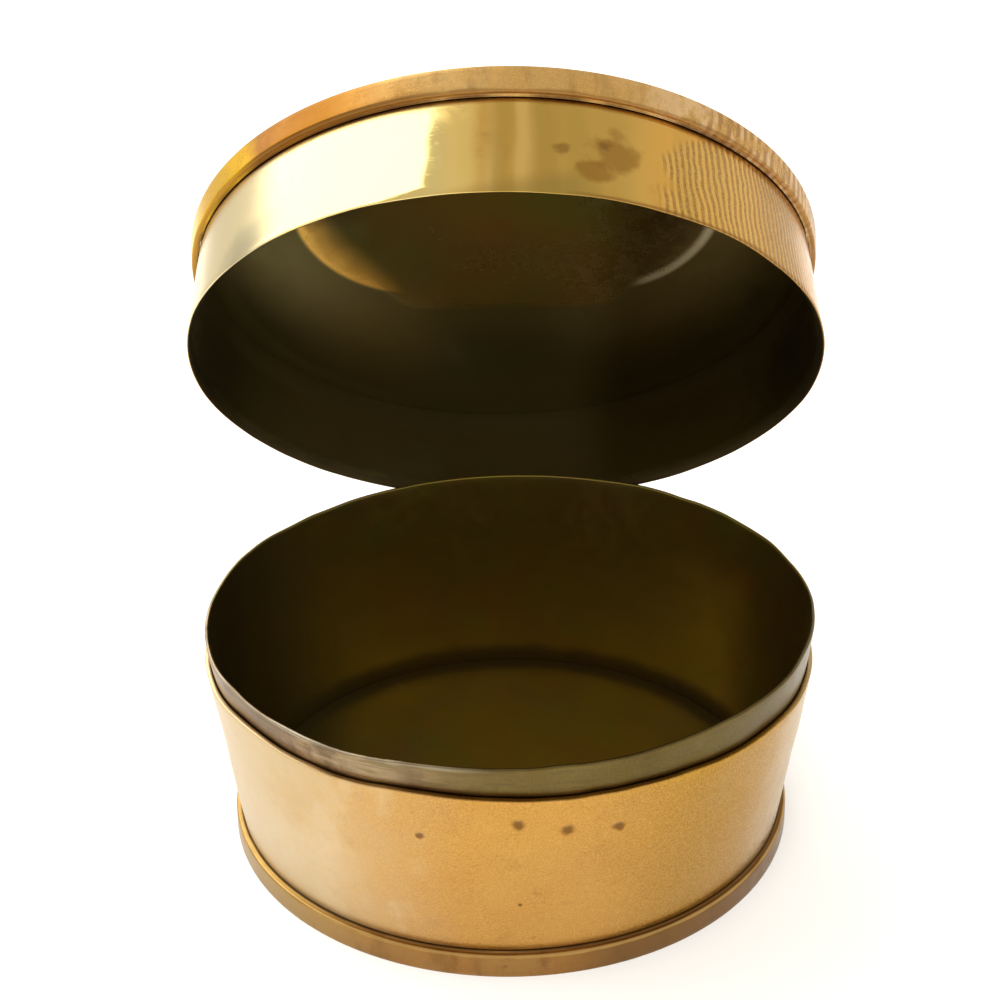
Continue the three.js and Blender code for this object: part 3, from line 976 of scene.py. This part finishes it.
# %% Hinge and plate finishes
def hinge_brass(name, on_lid):
    """Brass that is brown round the axis of the hinge."""
    m = Brass(name, (0.52, 0.34, 0.14), (0.42, 0.26, 0.10), (0.20, 0.11, 0.045), on_lid=on_lid,
              aged=0.09, size=3.0)
    m.raise_by(m.get(grain)["Satin"], 0.006)
    from_pin = apart(m.tree, m.plus(m.y, -MM * hinge_point.y), m.plus(m.z, -MM * hinge_point.z))
    wander = m.times(m.noise(0.9, detail=4.0), 1.2)
    m.tint((0.17, 0.085, 0.03), m.step(m.plus(from_pin, wander), 2.2, 1.0), 0.65)
    cloth = m.noise(1.6, (0.3, 1, 1), 4.0, rough=0.65)
    m.tint((0.60, 0.42, 0.19), m.step(cloth, 0.55, 0.7), 0.5)
    return m.close(0.3, 0.5)


def plate_brass(name, height, outset, on_lid):
    """Polished sheet with rubbed scratches and a dark line of dirt at its edge."""
    m = Brass(name, (0.74, 0.46, 0.15), (0.68, 0.41, 0.14), (0.38, 0.20, 0.07), on_lid=on_lid,
              aged=0.02, size=10.0)
    m.raise_by(m.get(grain)["Satin"], 0.003)
    m.raise_by(m.noise(0.12, detail=1.0), 0.05)
    m.raise_by(m.noise(1.1, (6, 0.1, 0.1), 2.0, (0, 0, 0.6)), 0.003)
    m.line_tint(height, outset, 0.0007)
    return m


hinge_finish = hinge_brass("hinge brass", False)
lid_hinge_finish = hinge_brass("lid hinge brass", True)
floor_low = edge("floor_plate", min)[0]
underside_finish = plate_brass("underside brass", floor_low, -0.0004, False).close(0.2, 0.42)
lid_plate_top = edge("lid_plate", max)[0]
lid_top_finish = plate_brass("lid top brass", lid_plate_top, -0.00015, True).close(0.12, 0.34)

# %% [markdown]
# ## Finish of the floor
#
# The box stands on pale paper. It is matt and very slightly mottled, so that it shows the soft
# shadow of the box and nothing else.

# %% Floor finish
PAPER_DARK, PAPER_LIGHT = (0.88, 0.875, 0.86, 1), (0.92, 0.915, 0.90, 1)
paper = bpy.data.materials.new("paper floor")
paper.use_nodes = True
tree = paper.node_tree
where = add(tree, "TexCoord").outputs["Object"]
mottled = blend(tree, noise(tree, where, 40.0, detail=4.0), PAPER_DARK, PAPER_LIGHT)
tree.links.new(mottled, tree.nodes["Principled BSDF"].inputs["Base Color"])
tree.nodes["Principled BSDF"].inputs["Roughness"].default_value = 0.9
floor.data.materials.append(paper)
print("floor finish:", paper.name)

# %% [markdown]
# ## How a strip is modelled
#
# A strip of sheet stood on edge is made the way a potter pulls a wall. An oval wire is laid at one
# corner of the strip's section and extruded from corner to corner round the section, wider or
# narrower, higher or lower, until it is back where it started. The doubled wire is then merged,
# and the faces are turned outwards.

# %% Helpers for strips
STEPS = 192
MERGED, TOO_SHORT = 1e-7, 0.0005


def deselect():
    """Nothing is selected in object mode, so an operator acts only on what comes next."""
    bpy.ops.object.select_all(action="DESELECT")


def choose(mode, test):
    """In edit mode, selects the vertices, edges or faces that pass a test, and nothing else."""
    bpy.ops.mesh.select_mode(type=mode)
    bpy.ops.mesh.select_all(action="DESELECT")
    mesh = bmesh.from_edit_mesh(bpy.context.object.data)
    found = 0
    for part in {"VERT": mesh.verts, "EDGE": mesh.edges, "FACE": mesh.faces}[mode]:
        if test(part):
            part.select_set(True)
            found += 1
    mesh.select_flush_mode()
    bmesh.update_edit_mesh(bpy.context.object.data)
    return found


def oval_wire(name, outset, height, fill="NOTHING"):
    """A new object in edit mode: one oval, all of it selected."""
    deselect()
    bpy.ops.mesh.primitive_circle_add(vertices=STEPS, radius=1, fill_type=fill, location=(0, 0, 0))
    made = bpy.context.object
    made.name = made.data.name = name
    bpy.ops.object.mode_set(mode="EDIT")
    bpy.ops.mesh.select_all(action="SELECT")
    reach = (half_length + outset, half_width + outset, 1)
    bpy.ops.transform.resize(value=reach, center_override=(0, 0, 0))
    bpy.ops.transform.translate(value=(0, 0, height))
    return made


def pull(here, there):
    """Extrudes the selected oval from one outset and height to another."""
    rise = there[1] - here[1]
    bpy.ops.mesh.extrude_region_move(TRANSFORM_OT_translate={"value": (0, 0, rise)})
    wider = (half_length + there[0]) / (half_length + here[0])
    deeper = (half_width + there[0]) / (half_width + here[0])
    bpy.ops.transform.resize(value=(wider, deeper, 1), center_override=(0, 0, there[1]))


def strip(name, section):
    """A closed ring round the oval, from the corners of its section."""
    made = oval_wire(name, *section[0])
    for here, there in zip(section, section[1:] + section[:1]):
        pull(here, there)
    bpy.ops.mesh.select_all(action="SELECT")
    bpy.ops.mesh.remove_doubles(threshold=MERGED)
    bpy.ops.mesh.normals_make_consistent(inside=False)
    return made


def tilt(heights, rise_right, rise_back):
    """Turns the edge at these heights a little, so that it climbs to the right and to the back."""
    choose("VERT", lambda v: any(abs(v.co.z - height) < HAIR for height in heights))
    centre = (0, 0, heights[0])
    bpy.ops.transform.rotate(value=math.atan(rise_right / half_length), orient_axis="Y",
                             center_override=centre)
    bpy.ops.transform.rotate(value=-math.atan(rise_back / half_width), orient_axis="X",
                             center_override=centre)


def rows(low, high, count):
    """Cuts the upright faces between two heights into rows, for shaping them later."""
    upright = max(0.6 * (high - low), TOO_SHORT)
    choose("EDGE", lambda e: abs(e.verts[0].co.z - e.verts[1].co.z) > upright)
    bpy.ops.mesh.subdivide(number_cuts=count - 1)


print("strips follow the oval in", STEPS, "steps")

# %% [markdown]
# ## Made by hand
#
# Sheet that is bent and soldered by hand is never quite true. Near the seam, where nothing
# stiffens it, the wall wanders by about a tenth of a millimetre, and that is what makes a
# reflection in it swim. Three Displace modifiers read three clouds and push the wall along X, Y
# and Z, by a weight that is full at the seam and nothing at the soldered rims and at the hinge.
# The clouds fill space, so strips that lie against each other move together and stay apart.


# %% Unevenness
CLOUD_SIZE = {"X": 0.011, "Y": 0.009, "Z": 0.007}
STRENGTH = {"X": 0.0005, "Y": 0.0005, "Z": 0.0006}
HINGE_REACH, HINGE_FADE = 0.009, 0.008
SMOOTH_BELOW = math.radians(40)


def cloud_texture(name, size):
    """A cloud for the Displace modifier, with features of this size."""
    texture = bpy.data.textures.new(name, "CLOUDS")
    texture.noise_scale = size
    texture.noise_depth = 2
    return texture


clouds = {axis: cloud_texture(f"cloud {axis}", size) for axis, size in CLOUD_SIZE.items()}


def uneven(made, still, free, amount=1.0):
    """Lets a strip wander, more and more from the height where it is still to where it is free."""
    weights = made.vertex_groups.new(name="give")
    for v in made.data.vertices:
        share = min(1.0, max(0.0, (v.co.z - still) / (free - still)))
        past_hinge = ((v.co - hinge_point).length - HINGE_REACH) / HINGE_FADE
        far = min(1.0, max(0.0, past_hinge))
        weights.add([v.index], share * share * (3 - 2 * share) * far, "REPLACE")
    bpy.context.view_layer.objects.active = made
    for axis, cloud in clouds.items():
        wander = made.modifiers.new(axis, "DISPLACE")
        wander.texture = cloud
        wander.texture_coords = "LOCAL"
        wander.direction = axis
        wander.strength = amount * STRENGTH[axis]
        wander.mid_level = 0.5
        wander.vertex_group = "give"
        bpy.ops.object.modifier_apply(modifier=axis)
    made.vertex_groups.clear()


def rounded(made, width, segments=3, angle=35):
    """Rounds the sharp edges and shades the rest smoothly."""
    bpy.context.view_layer.objects.active = made
    softened = made.modifiers.new("rounded", "BEVEL")
    softened.width = width
    softened.segments = segments
    softened.limit_method = "ANGLE"
    softened.angle_limit = math.radians(angle)
    bpy.ops.object.modifier_apply(modifier="rounded")
    deselect()
    made.select_set(True)
    bpy.ops.object.shade_smooth_by_angle(angle=SMOOTH_BELOW)


def finished(made, body, node, slot, *materials):
    """Turns a lid piece open, gives a piece its materials and says what it stands for."""
    if body == "lid":
        made.matrix_world = lid_open
        deselect()
        made.select_set(True)
        bpy.context.view_layer.objects.active = made
        bpy.ops.object.transform_apply(location=True, rotation=True, scale=True)
    for material in materials:
        made.data.materials.append(material)
    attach(made, body)
    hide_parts(node)
    print(f"{made.name}: {len(made.data.vertices)} vertices, stands for {node}")


def face_finish(made, index, test):
    """Gives the faces that pass a test another of the piece's finishes, while the lid is shut."""
    for face in made.data.polygons:
        if test(face.center, face.normal):
            face.material_index = index


def faces_in(centre, normal):
    """Whether a face of a strip looks towards the middle of the box."""
    return normal.x * centre.x + normal.y * centre.y < 0 and abs(normal.z) < 0.5


print("clouds:", {a: t.noise_scale for a, t in clouds.items()})

# %% [markdown]
# ## The body wall
#
# The wall is a strip of sheet bent to the oval. Its top edge is the seam that the lid comes down
# on, and it runs a little lower to the right. Between it and the bezel stays a hair's breadth, which
# shows as a dark line. The strip is cut into rows so that it can wander, and its edges are rounded
# as a file leaves them.

# %% Body wall
WALL_ROWS, WALL_ROUNDING = 24, 0.00008
outer, inner = outsets("body_wall")
top, rise_right, rise_back = seam
body_wall = strip("wall_of_body", [(outer, 0), (outer, top), (inner, top), (inner, 0)])
tilt((top,), rise_right, rise_back)
rows(0, top, WALL_ROWS)
bpy.ops.object.mode_set(mode="OBJECT")
uneven(body_wall, base_top, top)
rounded(body_wall, WALL_ROUNDING)
face_finish(body_wall, 1, faces_in)
finished(body_wall, "box", "body_wall", "wall_brass", wall_finish, inside_finish)

# %% [markdown]
# ## The bezel
#
# The bezel is a thinner sleeve inside the wall, and stands above it so that the lid has something
# to slip over. Its mouth runs uphill to the back and to the right, and its edge is worn round. Its
# foot is sunk a hair into the floor plate, so that no light shows under it.

# %% Bezel
SUNK_IN_FLOOR = 0.0001
BEZEL_ROWS, BEZEL_ROUNDING = 28, 0.00012
outer, inner = outsets("bezel")
foot = edge("bezel", min)[0] - SUNK_IN_FLOOR
top, rise_right, rise_back = edge("bezel", max)
bezel = strip("sleeve_of_bezel", [(outer, foot), (outer, top), (inner, top), (inner, foot)])
tilt((top,), rise_right, rise_back)
rows(foot, top, BEZEL_ROWS)
bpy.ops.object.mode_set(mode="OBJECT")
uneven(bezel, base_top, seam_height)
rounded(bezel, BEZEL_ROUNDING, segments=4)
face_finish(bezel, 1, lambda c, n: faces_in(c, n) or (n.z > 0.3 and c.y > 0))
finished(bezel, "box", "bezel", "bezel_brass", bezel_finish, inside_finish)

# %% [markdown]
# ## The rims
#
# A rim is a thicker strip soldered round the closed end of a wall. It leans out towards that end,
# and its free edge is filed off at a slant, which catches the light as a thin bright line. Its
# section is read from the solid, as the corners that lie on the X axis, put in order round their
# middle. A little fillet of solder fills the corner between the free edge and the wall.


# %% Rims
RIM_ROWS, RIM_ROUNDING = 5, 0.00006


def rim(name, node, free):
    """A rim strip with its fillet at the height of the free edge, cut into rows and rounded."""
    at_wall = min(o for o, z in section_of(node))
    section = [c for c in section_of(node) if math.dist(c, (at_wall, free)) > HAIR]
    past = FILLET if free > sum(z for o, z in section) / len(section) else -FILLET
    section = in_order(section + [(at_wall, free + past), (at_wall + FILLET, free)])
    print(node, "section in mm:", [(round(MM * o, 2), round(MM * z, 2)) for o, z in section])
    made = strip(name, section)
    heights = [z for o, z in section]
    rows(min(heights), max(heights), RIM_ROWS)
    bpy.ops.object.mode_set(mode="OBJECT")
    rounded(made, RIM_ROUNDING)
    return made


base_rim = rim("rim_of_base", "base_rim", base_top)
finished(base_rim, "box", "base_rim", "rim_brass", base_rim_finish)
lid_rim = rim("rim_of_lid", "lid_rim", lid_rim_edge)
finished(lid_rim, "lid", "lid_rim", "rim_brass", lid_rim_finish)

# %% [markdown]
# ## The lid wall
#
# The lid wall is a strip like the body's, a little wider, so that it slips over the bezel and
# comes to rest on the seam. Its foot follows the seam. Inside, the foot is thinned to a fine
# edge, which leads the lid over the bezel and makes its mouth look paper thin.

# %% Lid wall
LEAD_HEIGHT, LEAD_WIDTH = 0.0007, 0.0003
LID_ROWS, LID_ROUNDING = 14, 0.00007
outer, inner = outsets("lid_wall")
top = edge("lid_wall", max)[0]
lead = lid_mouth + LEAD_HEIGHT
lid_wall = strip("wall_of_lid", [(outer, lid_mouth), (outer, top), (inner, top), (inner, lead),
                                 (inner + LEAD_WIDTH, lid_mouth)])
tilt((lid_mouth, lead), lid_mouth_rise, lid_mouth_back)
rows(lid_mouth, top, LID_ROWS)
bpy.ops.object.mode_set(mode="OBJECT")
uneven(lid_wall, lid_rim_edge, lid_mouth, amount=0.35)
rounded(lid_wall, LID_ROUNDING)
face_finish(lid_wall, 1, lambda c, n: n.x * c.x + n.y * c.y < -0.001)
finished(lid_wall, "lid", "lid_wall", "lid_brass", lid_finish, lid_inside_finish)

# %% [markdown]
# ## The plates
#
# The floor of the body and the top of the lid are flat oval plates let into the walls. A plate is
# pulled up from a filled oval, and both its broad faces are drawn in to rings, so that no face is
# a fan of long slivers.


# %% Plates
LET_IN, PLATE_ROUNDING = 0.0001, 0.00008
RINGS = (0.97, 0.8, 0.75, 0.66, 0.5)


def plate(name, node):
    """An oval plate with rings on both faces, let a little way into its wall."""
    outer = max(p.x for p in shut_points(node)) - half_length + LET_IN
    low, high = edge(node, min)[0], edge(node, max)[0]
    made = oval_wire(name, outer, low, fill="NGON")
    pull((outer, low), (outer, high))
    bpy.ops.mesh.select_all(action="SELECT")
    bpy.ops.mesh.normals_make_consistent(inside=False)
    for height in (low, high):
        for share in RINGS:
            choose("FACE", lambda f: abs(f.calc_center_median().z - height) < HAIR
                   and len(f.verts) > 4)
            bpy.ops.mesh.extrude_region_move(TRANSFORM_OT_translate={"value": (0, 0, 0)})
            bpy.ops.transform.resize(value=(share, share, 1), center_override=(0, 0, height))
        bpy.ops.mesh.poke()
    bpy.ops.object.mode_set(mode="OBJECT")
    rounded(made, PLATE_ROUNDING)
    return made


floor_plate = plate("plate_of_floor", "floor_plate")
face_finish(floor_plate, 1, lambda c, n: n.z < 0.5)
finished(floor_plate, "box", "floor_plate", "plate_brass", inside_finish, underside_finish)
lid_plate = plate("plate_of_lid", "lid_plate")
face_finish(lid_plate, 1, lambda c, n: n.z > -0.5)
finished(lid_plate, "lid", "lid_plate", "plate_brass", lid_inside_finish, lid_top_finish)

# %% [markdown]
# ## The knuckles of the hinge
#
# The hinge is a tube sawn into five knuckles. The first, the third and the fifth stand on the
# body, the two between them hang from the lid. A cylinder becomes a tube when its ends are inset
# and the inset faces are bridged, and a few faces on one side are pulled out into the fillet of
# solder that joins the knuckle to its bearer. One knuckle is modelled and the others are copies.


# %% Sizes of the hinge
def from_axis(node, pick):
    """The least or greatest distance of a solid's corners from the hinge axis."""
    return pick(math.hypot(p.y - hinge_point.y, p.z - hinge_point.z) for p in shut_points(node))


def span(node):
    """Where a hinge piece starts and ends along the axis."""
    xs = [p.x for p in shut_points(node)]
    return min(xs), max(xs)


tube_radius = from_axis("body_knuckle_left", max)
bore = from_axis("body_knuckle_left", min)
tube_start, tube_end = span("body_knuckle_left")
bearer_face = max(p.z for p in shut_points("body_hinge_bearer"))
print(f"tube of {2 * MM * tube_radius:.2f} mm with a bore of {2 * MM * bore:.2f} mm")

# %% Knuckles
TUBE_SIDES, SUNK = 48, 0.00002
SOLDER_SPREAD, SOLDER_THINNED = 1.5, 0.2
deselect()
bpy.ops.mesh.primitive_cylinder_add(vertices=TUBE_SIDES, radius=tube_radius,
                                    depth=tube_end - tube_start,
                                    rotation=(0, math.pi / 2, 0))
pattern = bpy.context.object
bpy.ops.object.transform_apply(location=True, rotation=True, scale=True)
bpy.ops.object.mode_set(mode="EDIT")
choose("FACE", lambda f: abs(f.normal.x) > 0.9)
bpy.ops.mesh.inset(thickness=tube_radius - bore, use_individual=True)
bpy.ops.mesh.bridge_edge_loops()
choose("FACE", lambda f: f.normal.z < -0.9 and f.calc_center_median().z < -0.8 * tube_radius)
reach = hinge_point.z - bearer_face - tube_radius + SUNK
bpy.ops.mesh.extrude_region_move(TRANSFORM_OT_translate={"value": (0, 0, -reach)})
bpy.ops.transform.resize(value=(1, SOLDER_SPREAD, SOLDER_THINNED),
                         center_override=(0, 0, bearer_face - hinge_point.z))
bpy.ops.object.mode_set(mode="OBJECT")
rounded(pattern, 0.00005, segments=2, angle=50)


def knuckle(name, node, body):
    """A copy of the knuckle at its place; the lid's are turned over, with the solder above."""
    made = pattern.copy()
    made.data = pattern.data.copy()
    SCENE.collection.objects.link(made)
    made.name = made.data.name = name
    middle = sum(span(node)) / 2
    upside = Matrix.Rotation(math.pi, 4, "X") if body == "lid" else Matrix.Identity(4)
    made.data.transform(Matrix.Translation((middle, *hinge_point.yz)) @ upside)
    finished(made, body, node, "hinge_brass", lid_hinge_finish if body == "lid" else hinge_finish)


for place in ("left", "centre", "right"):
    knuckle(f"knuckle_{place}_of_body", f"body_knuckle_{place}", "box")
for place in ("left", "right"):
    knuckle(f"knuckle_{place}_of_lid", f"lid_knuckle_{place}", "lid")
bpy.data.objects.remove(pattern)

# %% [markdown]
# ## The hinge pin
#
# The pin runs through all five knuckles, and its ends are hammered round so that it stays in.

# %% Hinge pin
PIN_SIDES, HAMMERED = 32, 0.6
pin_radius = from_axis("hinge_pin", max)
pin_start, pin_end = span("hinge_pin")
deselect()
bpy.ops.mesh.primitive_cylinder_add(vertices=PIN_SIDES, radius=pin_radius, depth=pin_end - pin_start,
                                    location=hinge_point, rotation=(0, math.pi / 2, 0))
pin = bpy.context.object
pin.name = pin.data.name = "pin_of_hinge"
bpy.ops.object.transform_apply(location=True, rotation=True, scale=True)
rounded(pin, HAMMERED * pin_radius, segments=5, angle=50)
finished(pin, "box", "hinge_pin", "hinge_brass", hinge_finish)

# %% [markdown]
# ## The bearers
#
# A bearer is a little ledge soldered to the wall, which carries the knuckles of its leaf. It
# starts as a low block, its far side is pulled out and drawn in to the wall, and then the wall's
# oval and the hollows in which the other leaf's knuckles turn are cut from it with Boolean
# modifiers, each from a cutter that is taken away afterwards.


# %% Bearers
BITE, AT_WALL, CLEAR = 0.0025, 0.00005, 0.00002
CUTTER_REACH, ROOM = 0.004, 0.0001


def cut(made, cutter):
    """Takes a cutter's shape away from a piece."""
    bpy.context.view_layer.objects.active = made
    taken = made.modifiers.new("cut", "BOOLEAN")
    taken.operation = "DIFFERENCE"
    taken.object = cutter
    bpy.ops.object.modifier_apply(modifier="cut")
    bpy.data.objects.remove(cutter)


def bearer(name, node, wall_node, others):
    """A ledge between the wall and the knuckles."""
    points = shut_points(node)
    start, end = span(node)
    tip = max(p.y for p in points)
    at_tip = [p.z for p in points if abs(p.y - tip) < HAIR]
    side = -1 if max(at_tip) < hinge_point.z else 1
    near = max(at_tip) if side < 0 else min(at_tip)
    lip = min(at_tip) if side < 0 else max(at_tip)
    far = min(p.z for p in points) if side < 0 else max(p.z for p in points)
    wall_face = half_width + outsets(wall_node)[0]
    root = wall_face - BITE
    deselect()
    middle = ((start + end) / 2, (root + tip) / 2, (near + lip) / 2)
    bpy.ops.mesh.primitive_cube_add(size=1, location=middle)
    made = bpy.context.object
    made.name = made.data.name = name
    made.scale = (end - start, tip - root, abs(near - lip))
    bpy.ops.object.transform_apply(location=True, rotation=True, scale=True)
    bpy.ops.object.mode_set(mode="EDIT")
    choose("FACE", lambda f: f.normal.z * side > 0.9)
    bpy.ops.mesh.extrude_region_move(TRANSFORM_OT_translate={"value": (0, 0, far - lip)})
    choose("VERT", lambda v: abs(v.co.z - far) < HAIR and abs(v.co.y - tip) < HAIR)
    bpy.ops.transform.translate(value=(0, wall_face + AT_WALL - tip, 0))
    bpy.ops.object.mode_set(mode="OBJECT")
    gap = outsets(wall_node)[0] + CLEAR
    cutter = oval_wire("cutter", gap, far - CUTTER_REACH, fill="NGON")
    pull((gap, far - CUTTER_REACH), (gap, far + CUTTER_REACH))
    bpy.ops.mesh.select_all(action="SELECT")
    bpy.ops.mesh.normals_make_consistent(inside=False)
    bpy.ops.object.mode_set(mode="OBJECT")
    cut(made, cutter)
    hollow = from_axis(node, min)
    for other in others:
        left_end, right_end = span(other)
        deselect()
        bpy.ops.mesh.primitive_cylinder_add(
            vertices=TUBE_SIDES, radius=hollow, depth=right_end - left_end + 2 * ROOM,
            location=((left_end + right_end) / 2, *hinge_point.yz), rotation=(0, math.pi / 2, 0))
        cutter = bpy.context.object
        bpy.ops.object.transform_apply(location=True, rotation=True, scale=True)
        cut(made, cutter)
    rounded(made, 0.00004, segments=2)
    return made


body_bearer = bearer("bearer_of_body", "body_hinge_bearer", "body_wall",
                     ("lid_knuckle_left", "lid_knuckle_right"))
finished(body_bearer, "box", "body_hinge_bearer", "hinge_brass", hinge_finish)
lid_bearer = bearer("bearer_of_lid", "lid_hinge_bearer", "lid_wall",
                    ("body_knuckle_left", "body_knuckle_centre", "body_knuckle_right"))
finished(lid_bearer, "lid", "lid_hinge_bearer", "hinge_brass", lid_hinge_finish)
